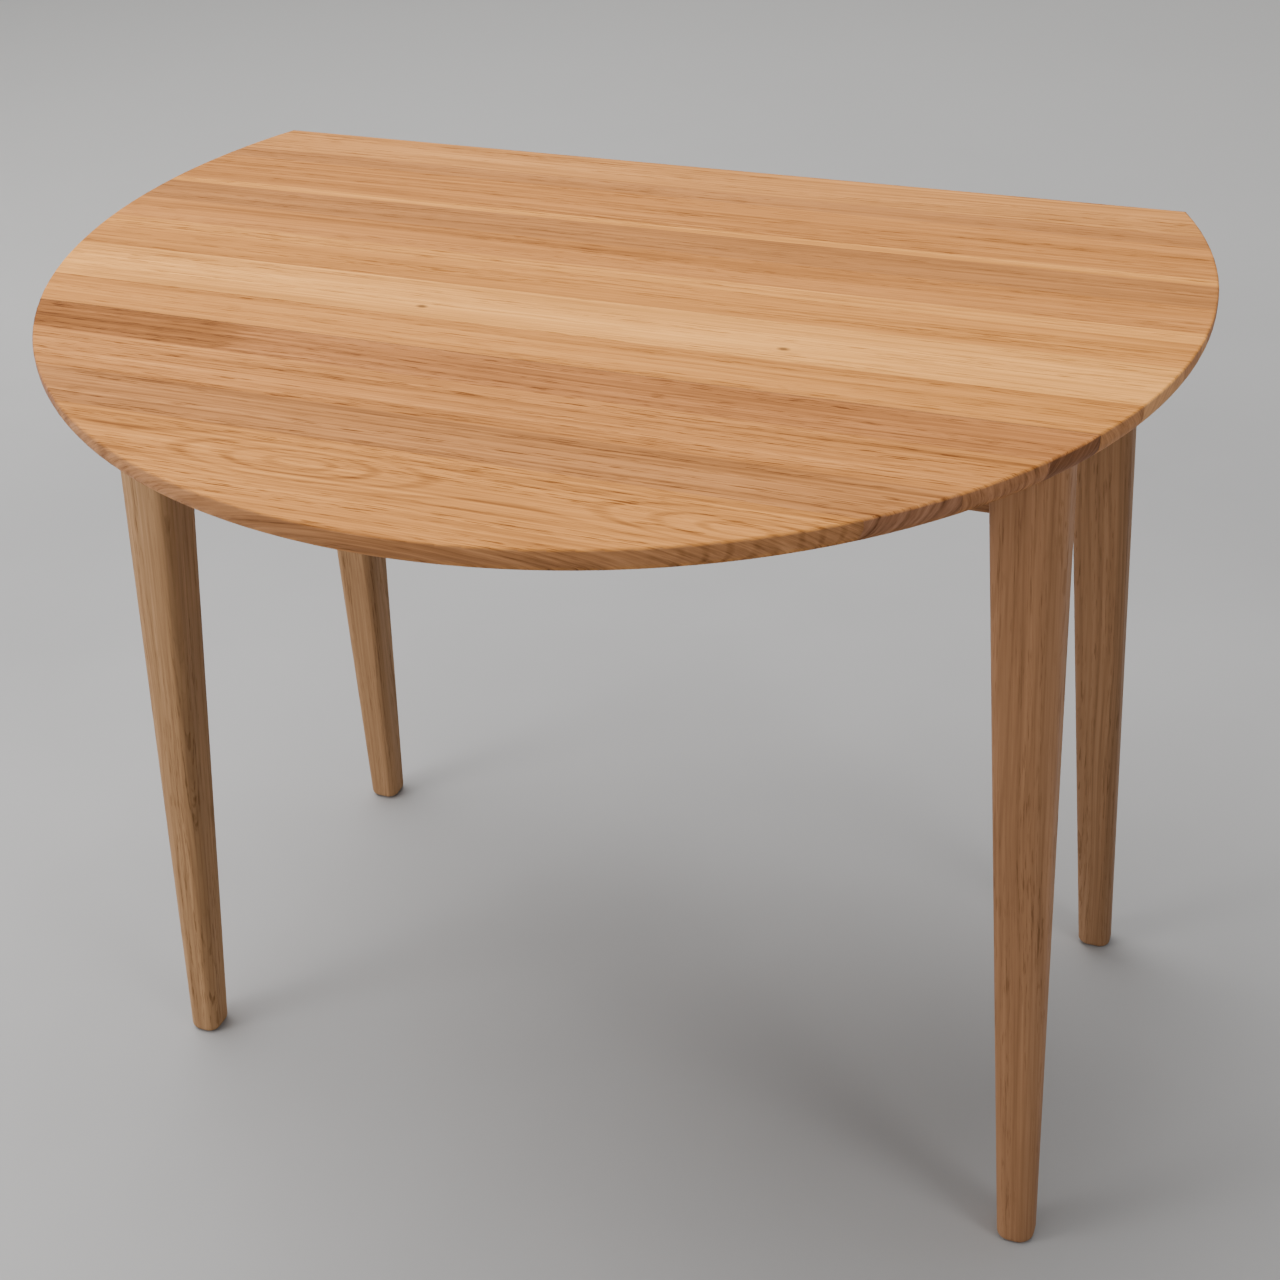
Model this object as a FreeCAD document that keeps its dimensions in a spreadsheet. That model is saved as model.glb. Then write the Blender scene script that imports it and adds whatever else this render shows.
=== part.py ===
import FreeCAD, Part
import math
import os
import re
import Sketcher
from FreeCAD import Placement, Rotation, Vector

# Round drop leaf table: a fixed centre panel on four splayed legs, with one hinged leaf at the
# front and one at the rear. The front leaf is raised and the rear leaf hangs.
# X runs along the seams, Y from front to rear and Z up. All sizes are in millimetres.

SIZES = {
    # Top
    "TopRadius": 440,
    "TopHeight": 750,
    "TopThickness": 20,
    "PanelHalfDepth": 194,
    "SeamHalfGap": 0.3,
    "SeamTopRound": 0.6,
    "RimUnderRound": 14,
    "EdgeRound": 1.5,
    "SeamUnderRound": 4.5,
    # Legs
    "FootHalfSpanX": 390,
    "FootHalfSpanY": 190,
    "LegLean": 45,
    "LegTopHalf": 27,
    "LegFootHalf": 15,
    "ArrisShare": 0.42,
    "FootArrisShare": 0.65,
    "OuterArrisShare": 0.85,
    "FootRound": 6,
    # Rails
    "RailThickness": 22,
    "RailDepth": 70,
    "RailEdgeRound": 2,
    "GrooveDepth": 8,
    "GrooveTop": 7.8,
    "GrooveHeight": 8.4,
    # Corner blocks and the bolts through them
    "BlockNear": 50,
    "BlockFar": 95,
    "BlockHeight": 48,
    "BlockDrop": 18,
    "BlockScrewInset": 15,
    "BlockScrewSink": 2,
    "BoltRadius": 4,
    "BoltLength": 90,
    "BoltInset": 2,
    "BoltPoint": 6,
    "BoltTip": 1,
    "BoltClearance": 0.5,
    "WasherRadius": 12,
    "WasherThickness": 2,
    "NutAcrossFlats": 13,
    "NutThickness": 6.5,
    # Buttons that hold the panel to the rails
    "ButtonWidth": 30,
    "ButtonLength": 20,
    "ButtonTongue": 7,
    "ButtonThickness": 16,
    "ButtonTongueThickness": 8,
    # Hinges
    "HingeSpan": 250,
    "AxisDrop": 3.5,
    "FlapWidth": 60,
    "FlapThickness": 2,
    "FixedFlapLength": 30,
    "LeafFlapLength": 40,
    "FlapCorner": 4,
    "FlapScrewSide": 20,
    "FlapScrewNear": 12,
    "FlapScrewEdge": 8,
    "KnuckleGap": 0.3,
    "KnuckleRelief": 0.4,
    "PinRadius": 1.5,
    "RunningGap": 0.05,
    # Folding stays
    "StaySpan": 80,
    "StayPlate": 2.5,
    "StayGap": 0.3,
    "StayFlange": 22,
    "PivotInset": 16,
    "PivotDrop": 45,
    "StudReach": 105,
    "StudDrop": 12,
    "ArmWidth": 14,
    "EarRadius": 9,
    "RivetRadius": 2.5,
    "RivetHead": 4.5,
    "RivetHeadThickness": 1.3,
    "StudHead": 5.5,
    "SlotClearance": 0.4,
    "BracketHeight": 36,
    "TrackStart": 96,
    "TrackEnd": 180,
    "TrackDepth": 33,
    "TrackCorner": 20,
    # Wood screws
    "SmallScrewRadius": 1.75,
    "SmallScrewHead": 3.5,
    "SmallScrewLength": 14,
    "LongScrewRadius": 2,
    "LongScrewHead": 4,
    "LongScrewLength": 28,
    "RecessDepth": 1.2,
    "RecessWidth": 0.9,
    "ScrewPoint": 3.2,
    "AccessDepth": 12,
    "AccessGap": 0.2,
}

KNUCKLES = 5
DOWN_FOLD = 90.0
SLOT_STATIONS = 12
FOOT_STEPS = 4
BUTTON_STATIONS = (-220, 0, 220)

doc = FreeCAD.newDocument("drop_leaf_table")
sheet = doc.addObject("Spreadsheet::Sheet", "Sizes")
for row, (alias, size) in enumerate(SIZES.items(), start=1):
    sheet.set("A%d" % row, alias)
    sheet.set("B%d" % row, str(size))
    sheet.setAlias("B%d" % row, alias)
doc.recompute()

parts = []


# Reading and binding sizes

def formula(text):
    """A size expression written with bare aliases, as FreeCAD reads it."""
    return re.sub(r"\b[A-Za-z]\w*\b(?!\()", lambda word: "Sizes." + word.group(), text)


def size(text):
    """The present value of a size expression."""
    return float(sheet.evalExpression(formula(text)))


def bind(item, **expressions):
    for name, text in expressions.items():
        item.setExpression(name.replace("__", "."), formula(text))


def keep(item, label):
    """Name a finished sub-part and list it for export."""
    item.Label = label
    parts.append(item)
    return item


# Frames: where each group of parts stands

BACK_FACE = size("PanelHalfDepth + AxisDrop + TopThickness")
CENTRE = Vector(0, (size("TopRadius") - BACK_FACE) / 2, 0)
UNDERSIDE = size("TopHeight - TopThickness")
RAIL_FACE = size("FootHalfSpanY - LegLean + RailThickness / 2")

ARM_RISE = math.degrees(math.atan2(size("PivotDrop - StudDrop"), size("StudReach + PivotInset")))
ARM_LENGTH = math.hypot(size("PivotDrop - StudDrop"), size("StudReach + PivotInset"))

SIDES = {"front": (180, 0.0), "rear": (0, DOWN_FOLD)}
HANDS = {"left": -1, "right": 1}
CORNERS = {"rear_right": 0, "rear_left": 90, "front_left": 180, "front_right": 270}


def about_x(angle):
    return Placement(Vector(), Rotation(Vector(1, 0, 0), angle))


def about_z(angle):
    return Placement(Vector(), Rotation(Vector(0, 0, 1), angle))


def at(x, y, z):
    return Placement(Vector(x, y, z), Rotation())


def hinge_frame(side):
    """On a hinge axis: Y points away from the panel and Z up."""
    turn = SIDES[side][0]
    outward = about_z(turn).Rotation.multVec(Vector(0, size("PanelHalfDepth"), 0))
    axis_height = Vector(0, 0, UNDERSIDE - size("AxisDrop"))
    return Placement(CENTRE + outward + axis_height, about_z(turn).Rotation)


def leaf_frame(side):
    """The hinge frame turned down by the leaf's fold at rest."""
    return hinge_frame(side).multiply(about_x(-SIDES[side][1]))


def along(side, hand, span):
    """Distance along a side's own X axis to the left or right station in the table's frame."""
    turned = -1 if side == "front" else 1
    return turned * HANDS[hand] * span


def corner_frame(corner):
    """On the floor under a leg: X and Y point out of the table, Z up."""
    turn = CORNERS[corner]
    x_sign = 1 if "right" in corner else -1
    y_sign = 1 if "rear" in corner else -1
    foot = Vector(x_sign * size("FootHalfSpanX"), y_sign * size("FootHalfSpanY"), 0)
    return Placement(CENTRE + foot, about_z(turn).Rotation)


# PartDesign helpers

def new_body(name, placement):
    body = doc.addObject("PartDesign::Body", name)
    body.Placement = placement
    return body


def primitive(body, kind, name, placement, **expressions):
    """A PartDesign primitive, such as AdditiveBox, placed in its body's frame."""
    item = body.newObject("PartDesign::" + kind, name)
    item.Placement = placement
    bind(item, **expressions)
    doc.recompute()
    return item


def plate(body, kind, name, low, spans):
    """A box from its low corner and its three spans, all given as size expressions."""
    length, width, height = spans
    item = body.newObject("PartDesign::" + kind, name)
    x, y, z = low
    bind(item, Length=length, Width=width, Height=height)
    bind(item, Placement__Base__x=x, Placement__Base__y=y, Placement__Base__z=z)
    doc.recompute()
    return item


def disc_on_x(body, kind, name, low, radius, length):
    """A cylinder whose axis runs along X from its low end."""
    item = body.newObject("PartDesign::" + kind, name)
    item.Placement = Placement(Vector(), Rotation(Vector(0, 1, 0), 90))
    x, y, z = low
    bind(item, Radius=radius, Height=length)
    bind(item, Placement__Base__x=x, Placement__Base__y=y, Placement__Base__z=z)
    doc.recompute()
    return item


def round_edges(body, base, radius, wanted):
    """Fillet the edges of a feature that a test picks out."""
    names = ["Edge%d" % (i + 1) for i, edge in enumerate(base.Shape.Edges) if wanted(edge)]
    fillet = body.newObject("PartDesign::Fillet", base.Name + "_round")
    fillet.Base = (base, names)
    bind(fillet, Radius=radius)
    doc.recompute()
    return fillet


def sketch_on(body, name, plane):
    sketch = body.newObject("Sketcher::SketchObject", name)
    support = [item for item in body.Origin.OriginFeatures if item.Role == plane][0]
    sketch.AttachmentSupport = [(support, "")]
    sketch.MapMode = "FlatFace"
    return sketch


def bind_point(sketch, geometry, end, x, y):
    """Hold a sketch point at two size expressions."""
    for kind, text, axis in (("DistanceX", x, -2), ("DistanceY", y, -1)):
        if text == "0":
            sketch.addConstraint(Sketcher.Constraint("PointOnObject", geometry, end, axis))
        else:
            row = sketch.addConstraint(
                Sketcher.Constraint(kind, -1, 1, geometry, end, size(text)))
            sketch.setExpression("Constraints[%d]" % row, formula(text))


def polygon(sketch, points):
    """A closed polygon whose corners are held at size expressions."""
    places = [Vector(size(x), size(y), 0) for x, y in points]
    count = len(points)
    for i in range(count):
        sketch.addGeometry(Part.LineSegment(places[i], places[(i + 1) % count]))
    for i in range(count):
        sketch.addConstraint(Sketcher.Constraint("Coincident", i, 2, (i + 1) % count, 1))
    for i, (x, y) in enumerate(points):
        bind_point(sketch, i, 1, x, y)
    doc.recompute()


def outline(sketch, points, rounds, way):
    """A closed outline with some corners rounded, held at size expressions.

    rounds gives a radius for each segment that is a quarter arc; way is 1 when the outline
    is drawn clockwise with the arcs turning left, and -1 when it is its mirror image.
    """
    places = [Vector(size(x), size(y), 0) for x, y in points]
    count = len(points)
    ends = []
    for i in range(count):
        first, last = places[i], places[(i + 1) % count]
        if i not in rounds:
            sketch.addGeometry(Part.LineSegment(first, last))
            ends.append((1, 2))
            continue
        chord = last - first
        middle = (first + last) / 2 + Vector(-chord.y, chord.x, 0) * (0.5 * way)
        spoke = (first if way > 0 else last) - middle
        start = math.atan2(spoke.y, spoke.x)
        circle = Part.Circle(middle, Vector(0, 0, 1), spoke.Length)
        sketch.addGeometry(Part.ArcOfCircle(circle, start, start + math.pi / 2))
        ends.append((1, 2) if way > 0 else (2, 1))
    for i in range(count):
        following = (i + 1) % count
        sketch.addConstraint(
            Sketcher.Constraint("Coincident", i, ends[i][1], following, ends[following][0]))
    for i, (x, y) in enumerate(points):
        bind_point(sketch, i, ends[i][0], x, y)
    for i, radius in rounds.items():
        row = sketch.addConstraint(Sketcher.Constraint("Radius", i, size(radius)))
        sketch.setExpression("Constraints[%d]" % row, formula(radius))
    doc.recompute()


def pad_through(body, sketch, length):
    """Pad a sketch by the same distance on both sides."""
    pad = body.newObject("PartDesign::Pad", sketch.Name + "_pad")
    pad.Profile = sketch
    pad.Midplane = True
    bind(pad, Length=length)
    doc.recompute()
    return pad


def cut(base, tool, name):
    """A Part cut of one document object by another."""
    item = doc.addObject("Part::Cut", name)
    item.Base = base
    item.Tool = tool
    item.Refine = True
    doc.recompute()
    return item


# Fasteners

def turned_body(name, points):
    """A body turned about Z from a half profile given as size expressions."""
    body = new_body(name, Placement())
    profile = sketch_on(body, name + "_profile", "XZ_Plane")
    polygon(profile, points)
    turned = body.newObject("PartDesign::Revolution", name + "_turned")
    turned.Profile = profile
    turned.ReferenceAxis = (profile, ["V_Axis"])
    turned.Angle = 360
    doc.recompute()
    return body


def wood_screw(name, radius, head, length, access=None):
    """A countersunk screw along -Z with its head face at the origin, and the hole it needs.

    access is the depth of a wider hole above the head, for a head that lies below the surface.
    """
    body = turned_body(name, [
        ("0", "0"), (head, "0"), (radius, "%s - %s" % (radius, head)),
        (radius, "ScrewPoint - " + length), ("0", "0 - " + length)])
    plain = body.Shape.copy()
    for i, (across, along_y) in enumerate((("RecessWidth", head), (head, "RecessWidth"))):
        plate(body, "SubtractiveBox", "%s_recess_%d" % (name, i),
              ("0 - %s / 2" % across, "0 - %s / 2" % along_y, "0 - RecessDepth"),
              (across, along_y, "RecessDepth * 2"))
    if access:
        plain = plain.fuse(Part.makeCylinder(size(head + " + AccessGap"), size(access)))
    return body.Shape.copy(), plain


def scatter(label, shape, places):
    """Identical pieces as one group of separate solids."""
    group = doc.addObject("Part::Feature", label)
    group.Shape = Part.makeCompound([shape.copy().transformed(p.toMatrix()) for p in places])
    return group


def driven(x, y, z, direction):
    """Where a screw's head face lies and which way the screw goes in."""
    return Placement(Vector(x, y, z), Rotation(Vector(0, 0, -1), direction))


UP = Vector(0, 0, 1)


def flap_screws(length, outward):
    """Two screws beside the knuckles and one near the far edge; outward is 1 or -1 along Y."""
    z = size("AxisDrop - FlapThickness")
    side = size("FlapScrewSide")
    near = outward * size("FlapScrewNear")
    far = outward * size(length + " - FlapScrewEdge")
    return [driven(-side, near, z, UP), driven(side, near, z, UP), driven(0, far, z, UP)]


def bracket_screws():
    x = -size("StayGap + StayPlate + StayFlange / 2")
    y = size("StayPlate") + RAIL_FACE - size("PanelHalfDepth")
    middle = -size("PivotDrop")
    reach = size("BracketHeight") / 4
    return [driven(x, y, middle + step, Vector(0, -1, 0)) for step in (-reach, reach)]


def track_screws():
    x = size("StayPlate * 2 + StayGap + StayFlange / 2")
    z = size("AxisDrop - StayPlate")
    middle = size("(TrackStart + TrackEnd) / 2")
    reach = size("TrackEnd - TrackStart") / 3
    return [driven(x, middle + step, z, UP) for step in (-reach, 0, reach)]


def both_hands(side, frame, span, local_places):
    """Repeat a set of places at a side's left and right stations."""
    places = []
    for hand in HANDS:
        station = frame.multiply(at(along(side, hand, span), 0, 0))
        places += [station.multiply(place) for place in local_places]
    return places


small_screw, small_hole = wood_screw(
    "small_screw", "SmallScrewRadius", "SmallScrewHead", "SmallScrewLength")
long_screw, long_hole = wood_screw(
    "long_screw", "LongScrewRadius", "LongScrewHead", "LongScrewLength")
deep_screw, deep_hole = wood_screw(
    "deep_screw", "LongScrewRadius", "LongScrewHead", "LongScrewLength", "AccessDepth")

frame_places = []
for side in SIDES:
    base = hinge_frame(side)
    frame_places += both_hands(side, base, size("HingeSpan"), flap_screws("FixedFlapLength", -1))
    frame_places += both_hands(side, base, size("StaySpan"), bracket_screws())
keep(scatter("frame_screws", small_screw, frame_places), "frame_screws")
frame_holes = scatter("frame_holes", small_hole, frame_places)

leaf_holes = {}
for side in SIDES:
    base = leaf_frame(side)
    places = both_hands(side, base, size("HingeSpan"), flap_screws("LeafFlapLength", 1))
    places += both_hands(side, base, size("StaySpan"), track_screws())
    keep(scatter(side + "_leaf_screws", small_screw, places), side + "_leaf_screws")
    leaf_holes[side] = scatter(side + "_leaf_holes", small_hole, places)


# Corner blocks, their bolts and their screws

INWARD = Vector(-1, -1, 0).normalize()
LEG_HEAD = Vector(-size("LegLean"), -size("LegLean"), 0)
BOLT_HEIGHT = UNDERSIDE - size("BlockDrop + BlockHeight / 2")
BLOCK_FACE = size("RailThickness / 2 + BlockFar") / math.sqrt(2)


def diagonal(distance):
    """A place on a corner's bolt line, with Z pointing into the table."""
    spot = LEG_HEAD + INWARD * distance + Vector(0, 0, BOLT_HEIGHT)
    return Placement(spot, Rotation(Vector(0, 0, 1), INWARD))


def block_screw_places():
    """Two screws into each of the two rails that a corner block joins."""
    head = size("LegLean + RailThickness / 2 + BlockScrewInset - BlockScrewSink")
    away = size("LegLean + BlockFar - BlockScrewInset")
    places = []
    for step in (-size("BlockHeight") / 4, size("BlockHeight") / 4):
        z = BOLT_HEIGHT + step
        places.append(driven(-head, -away, z, Vector(1, 0, 0)))
        places.append(driven(-away, -head, z, Vector(0, 1, 0)))
    return places


def at_corners(local_places):
    return [corner_frame(c).multiply(place) for c in CORNERS for place in local_places]


def hanger_bolt():
    """A plain bolt with a pointed end for the wood and a chamfered end for the nut."""
    return turned_body("hanger_bolt", [
        ("0", "0"), ("BoltTip", "0"), ("BoltRadius", "BoltPoint"),
        ("BoltRadius", "BoltLength - BoltTip"), ("BoltRadius - BoltTip", "BoltLength"),
        ("0", "BoltLength")])


def washer():
    body = new_body("washer", Placement())
    primitive(body, "AdditiveCylinder", "washer_disc", Placement(),
              Radius="WasherRadius", Height="WasherThickness")
    primitive(body, "SubtractiveCylinder", "washer_bore", Placement(),
              Radius="BoltRadius + BoltClearance", Height="WasherThickness")
    return body


def hex_nut():
    body = new_body("hex_nut", Placement())
    primitive(body, "AdditivePrism", "hex_nut_prism", Placement(),
              Circumradius="NutAcrossFlats / sqrt(3)", Height="NutThickness")
    primitive(body, "SubtractiveCylinder", "hex_nut_bore", Placement(),
              Radius="BoltRadius", Height="NutThickness")
    return body


for label, fastener, distance in (
        ("hanger_bolts", hanger_bolt(), -size("BoltInset")),
        ("bolt_washers", washer(), BLOCK_FACE),
        ("bolt_nuts", hex_nut(), BLOCK_FACE + size("WasherThickness"))):
    keep(scatter(label, fastener.Shape, at_corners([diagonal(distance)])), label)

block_places = at_corners(block_screw_places())
keep(scatter("block_screws", deep_screw, block_places), "block_screws")
block_holes = scatter("block_holes", deep_hole, block_places)


def corner_block(corner):
    """A trapezoid block across the inside of two rails, bored for the hanger bolt."""
    body = new_body(corner + "_block_body", corner_frame(corner))
    outline = sketch_on(body, corner + "_block_outline", "XY_Plane")
    low_z = BOLT_HEIGHT - size("BlockHeight") / 2
    outline.AttachmentOffset = at(0, 0, low_z)
    rail = "0 - LegLean - RailThickness / 2"
    near = "0 - LegLean - BlockNear"
    far = "0 - LegLean - BlockFar"
    polygon(outline, [(rail, near), (rail, far), (far, rail), (near, rail)])
    pad = body.newObject("PartDesign::Pad", corner + "_block_pad")
    pad.Profile = outline
    bind(pad, Length="BlockHeight")
    doc.recompute()
    primitive(body, "SubtractiveCylinder", corner + "_block_bore", diagonal(0),
              Radius="BoltRadius + BoltClearance", Height="BoltLength")
    keep(cut(body, block_holes, corner + "_corner_block"), corner + "_corner_block")


for corner in CORNERS:
    corner_block(corner)


# Legs

def rounded_square(sketch, half, centre, shares):
    """A square with a rounded arris at each corner, sized as shares of its half width."""
    h = size(half)
    c = size(centre)
    signs = ((1, 1), (-1, 1), (-1, -1), (1, -1))
    rounds = [h * size(share) for share in shares]
    for i, (sx, sy) in enumerate(signs):
        middle = Vector(c + sx * (h - rounds[i]), c + sy * (h - rounds[i]), 0)
        start = math.radians(90 * i)
        circle = Part.Circle(middle, Vector(0, 0, 1), rounds[i])
        sketch.addGeometry(Part.ArcOfCircle(circle, start, start + math.pi / 2))
    for i in range(4):
        first = sketch.Geometry[i].EndPoint
        last = sketch.Geometry[(i + 1) % 4].StartPoint
        sketch.addGeometry(Part.LineSegment(first, last))
    for i in range(4):
        line = 4 + i
        sketch.addConstraint(Sketcher.Constraint("Tangent", i, 2, line, 1))
        sketch.addConstraint(Sketcher.Constraint("Tangent", line, 2, (i + 1) % 4, 1))
        row = sketch.addConstraint(Sketcher.Constraint("Radius", i, rounds[i]))
        sketch.setExpression("Constraints[%d]" % row, formula("%s * %s" % (half, shares[i])))
    sides = (("DistanceY", 4, 1), ("DistanceX", 5, -1), ("DistanceY", 6, -1), ("DistanceX", 7, 1))
    sketch.addConstraint(Sketcher.Constraint("Horizontal", 4))
    sketch.addConstraint(Sketcher.Constraint("Vertical", 5))
    for kind, line, sign in sides:
        row = sketch.addConstraint(Sketcher.Constraint(kind, -1, 1, line, 1, c + sign * h))
        text = "%s %s %s" % (centre, "+" if sign > 0 else "-", half)
        sketch.setExpression("Constraints[%d]" % row, formula(text))
    doc.recompute()


def leg_section(body, name, rise, inset):
    """The leg's outline at a height, drawn in by an inset and moved with the leg's lean."""
    section = sketch_on(body, name, "XY_Plane")
    bind(section, AttachmentOffset__Base__z=rise)
    share = "(%s) / (TopHeight - TopThickness)" % rise
    half = "(LegFootHalf + (LegTopHalf - LegFootHalf) * %s - %s)" % (share, inset)
    inner = "(FootArrisShare + (ArrisShare - FootArrisShare) * %s)" % share
    shares = ("OuterArrisShare", inner, inner, inner)
    rounded_square(section, half, "0 - LegLean * %s" % share, shares)
    return section


def leg(corner):
    """A tapered, splayed leg with a large outer arris and a rounded foot."""
    name = corner + "_leg"
    body = new_body(name, corner_frame(corner))
    sections = []
    for i in range(FOOT_STEPS + 1):
        angle = math.pi / 2 * i / FOOT_STEPS
        rise = "FootRound * %.4f" % (1 - math.cos(angle))
        inset = "FootRound * %.4f" % (1 - math.sin(angle))
        sections.append(leg_section(body, "%s_foot_%d" % (name, i), rise, inset))
    sections.append(leg_section(body, name + "_head", "TopHeight - TopThickness", "0"))
    loft = body.newObject("PartDesign::AdditiveLoft", name + "_loft")
    loft.Profile = sections[0]
    loft.Sections = sections[1:]
    loft.Ruled = True
    doc.recompute()
    primitive(body, "SubtractiveCylinder", name + "_bore", diagonal(-size("BoltInset")),
              Radius="BoltRadius", Height="BoltLength / 2")
    return keep(body, name)


legs = {corner: leg(corner) for corner in CORNERS}


# Buttons under the panel

def button_shape():
    """A block under the panel with a tongue that reaches into the rail's groove."""
    body = new_body("button_body", Placement())
    outline = sketch_on(body, "button_outline", "YZ_Plane")
    polygon(outline, [
        ("0", "0"), ("ButtonLength", "0"), ("ButtonLength", "0 - ButtonThickness"),
        ("0 - ButtonTongue", "0 - ButtonThickness"),
        ("0 - ButtonTongue", "ButtonTongueThickness - ButtonThickness"),
        ("0", "ButtonTongueThickness - ButtonThickness")])
    pad_through(body, outline, "ButtonWidth")
    screw_place = driven(0, size("ButtonLength") / 2, -size("ButtonThickness"), UP)
    hole = long_hole.copy().transformed(screw_place.toMatrix())
    return body.Shape.cut(hole), screw_place


def rail_inner(half_span):
    return size(half_span + " - LegLean - RailThickness / 2")


def button_places():
    """Buttons on the inner faces of the four rails, tongues in the grooves."""
    rows = ((0, "FootHalfSpanY", BUTTON_STATIONS), (180, "FootHalfSpanY", BUTTON_STATIONS),
            (90, "FootHalfSpanX", (0,)), (270, "FootHalfSpanX", (0,)))
    places = []
    for turn, half_span, stations in rows:
        face = rail_inner(half_span)
        for station in stations:
            local = at(station, -face, UNDERSIDE)
            places.append(Placement(CENTRE, Rotation()).multiply(about_z(turn)).multiply(local))
    return places


button, button_screw_place = button_shape()
places = button_places()
keep(scatter("top_buttons", button, places), "top_buttons")
screw_places = [place.multiply(button_screw_place) for place in places]
keep(scatter("button_screws", long_screw, screw_places), "button_screws")
button_holes = scatter("button_holes", long_hole, screw_places)


# Rails

def leg_face(half_span, z):
    """Distance from the table's middle to the inner face of a leg at a height."""
    taper = "(LegLean + LegTopHalf - LegFootHalf)"
    return "(%s - LegFootHalf - %s * (%s) / (TopHeight - TopThickness))" % (half_span, taper, z)


def rail(label, turn, length_span, side_span):
    """A rail whose ends meet the leaning legs, with a groove inside for the buttons."""
    body = new_body(label + "_body", Placement(CENTRE, Rotation()).multiply(about_z(turn)))
    top = "TopHeight - TopThickness"
    bottom = "TopHeight - TopThickness - RailDepth"
    board = sketch_on(body, label + "_board", "XZ_Plane")
    bind(board, AttachmentOffset__Base__z="LegLean - " + side_span)
    upper, lower = leg_face(length_span, top), leg_face(length_span, bottom)
    polygon(board, [("0 - " + lower, bottom), (lower, bottom), (upper, top), ("0 - " + upper, top)])
    pad = pad_through(body, board, "RailThickness")
    low_z = size(bottom)
    round_edges(body, pad, "RailEdgeRound",
                lambda edge: edge.BoundBox.ZMax < low_z + 0.01 and edge.BoundBox.XLength > 1)
    plate(body, "SubtractiveBox", label + "_groove",
          ("0 - " + length_span, side_span + " - LegLean - RailThickness / 2",
           top + " - GrooveTop - GrooveHeight"),
          (length_span + " * 2", "GrooveDepth", "GrooveHeight"))
    bored = cut(body, block_holes, label + "_bored")
    keep(cut(bored, frame_holes, label), label)


rail("rear_rail", 0, "FootHalfSpanX", "FootHalfSpanY")
rail("front_rail", 180, "FootHalfSpanX", "FootHalfSpanY")
rail("left_rail", 90, "FootHalfSpanY", "FootHalfSpanX")
rail("right_rail", 270, "FootHalfSpanY", "FootHalfSpanX")


# Top: the fixed panel and the two leaves are cut from one disc shape

def rounded_disc(body, name, centre_y, low_z):
    """The full round top with a soft upper edge and a large round under the rim."""
    disc = body.newObject("PartDesign::AdditiveCylinder", name + "_disc")
    bind(disc, Radius="TopRadius", Height="TopThickness")
    bind(disc, Placement__Base__y=centre_y, Placement__Base__z=low_z)
    doc.recompute()
    bottom = disc.Shape.BoundBox.ZMin
    under = round_edges(body, disc, "RimUnderRound", lambda edge: edge.BoundBox.ZMax < bottom + 0.01)
    top = under.Shape.BoundBox.ZMax
    return round_edges(body, under, "EdgeRound", lambda edge: edge.BoundBox.ZMin > top - 0.01)


def seam_pocket(body, name, seam, way, bottom, under_round):
    """Cut away all beyond a seam along X, and round the two edges that it leaves.

    The seam lies at a distance along Y; way is 1 to cut towards +Y and -1 towards -Y.
    """
    def side(text):
        return text if way > 0 else "0 - (%s)" % text

    top = "(%s + TopThickness)" % bottom
    points = [
        (side("TopRadius * 2"), bottom + " - TopThickness"),
        (side("%s - %s" % (seam, under_round)), bottom + " - TopThickness"),
        (side("%s - %s" % (seam, under_round)), bottom),
        (side(seam), "%s + %s" % (bottom, under_round)),
        (side(seam), top + " - SeamTopRound"),
        (side(seam + " - SeamTopRound"), top),
        (side(seam + " - SeamTopRound"), top + " + TopThickness"),
        (side("TopRadius * 2"), top + " + TopThickness")]
    sketch = sketch_on(body, name, "YZ_Plane")
    outline(sketch, points, {2: under_round, 4: "SeamTopRound"}, way)
    before = body.Tip.Shape.Volume
    pocket = body.newObject("PartDesign::Pocket", name + "_pocket")
    pocket.Profile = sketch
    pocket.Midplane = True
    bind(pocket, Length="TopRadius * 3")
    doc.recompute()
    if pocket.Shape.Volume > before - 1:
        raise RuntimeError(name + " cut nothing")


def centre_panel():
    body = new_body("centre_panel_body", Placement(CENTRE + Vector(0, 0, UNDERSIDE), Rotation()))
    rounded_disc(body, "centre_panel", "0", "0")
    for name, way in (("rear", 1), ("front", -1)):
        seam_pocket(body, "centre_panel_%s_seam" % name, "(PanelHalfDepth - SeamHalfGap)", way,
                    "0", "EdgeRound")
    item = cut(body, frame_holes, "centre_panel_drilled")
    keep(cut(item, button_holes, "centre_panel"), "centre_panel")


def leaf(side):
    body = new_body(side + "_leaf_body", leaf_frame(side))
    rounded_disc(body, side + "_leaf", "0 - PanelHalfDepth", "AxisDrop")
    seam_pocket(body, side + "_leaf_seam", "(0 - SeamHalfGap)", -1, "AxisDrop", "SeamUnderRound")
    keep(cut(body, leaf_holes[side], side + "_leaf"), side + "_leaf")


centre_panel()
for side in SIDES:
    leaf(side)


# Hinges

KNUCKLE = "(FlapWidth / %d)" % KNUCKLES


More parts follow.
